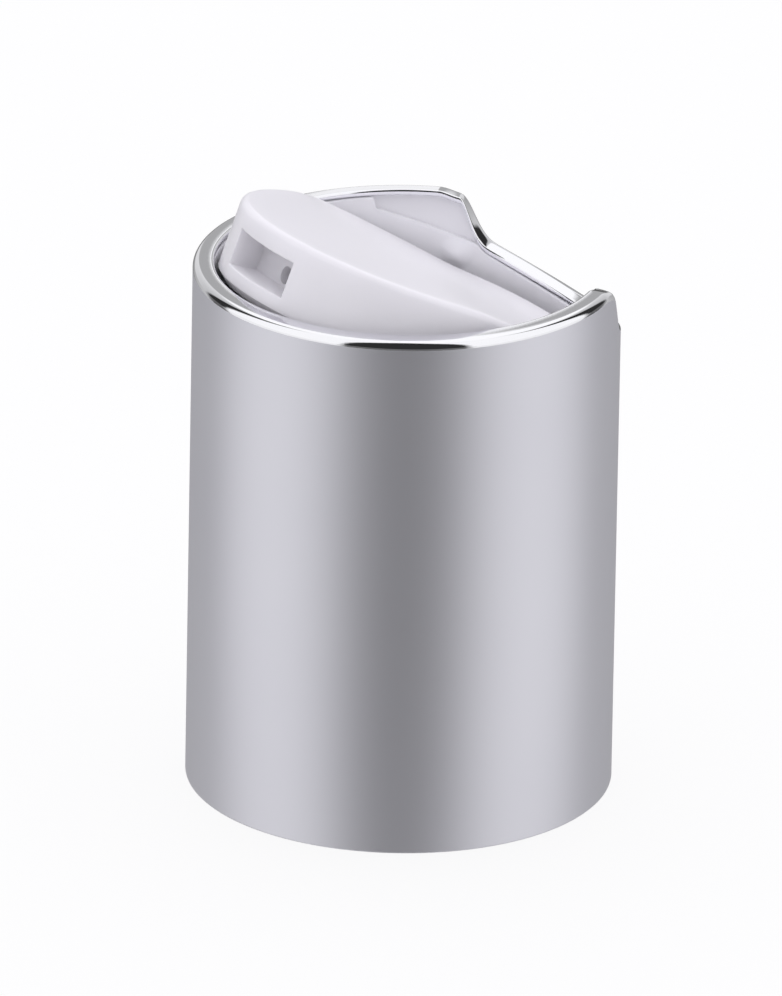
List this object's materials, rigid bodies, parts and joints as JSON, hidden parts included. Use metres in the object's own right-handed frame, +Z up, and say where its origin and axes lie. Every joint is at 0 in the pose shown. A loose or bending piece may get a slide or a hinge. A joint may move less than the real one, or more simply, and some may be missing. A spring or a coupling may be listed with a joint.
{
  "type": "disc top cap",
  "caption": "Disc top cap for a 24 mm bottle neck: aluminium sleeve, white moulded body and a rocking disc, drawn open.",
  "frame": {"origin": "centre of the sleeve's bottom edge, on the axis of the sleeve", "axes": "+Z up along the sleeve's axis, away from the bottle; -Y towards the nozzle; +Y towards the finger scoop; +X along the pivot pins"},
  "size_m": [0.028, 0.028, 0.0404],
  "materials": {
    "sleeve_aluminium": "satin on the side, polished on the rim, clear anodised",
    "body_plastic": "white polypropylene as moulded, slightly translucent",
    "disc_plastic": "white polypropylene as moulded, slightly translucent"
  },
  "bodies": {
    "cap": {"outer_shell": "sleeve_aluminium", "cap_body": "body_plastic"},
    "disc": {"flip_disc": "disc_plastic"}
  },
  "joints": [
    {"name": "disc_tilt", "type": "hinge", "parent": "cap", "child": "disc", "pos_m": [0, 0.00075, 0.03375], "axis": [1, 0, 0], "range_deg": [0, 21.5]}
  ]
}
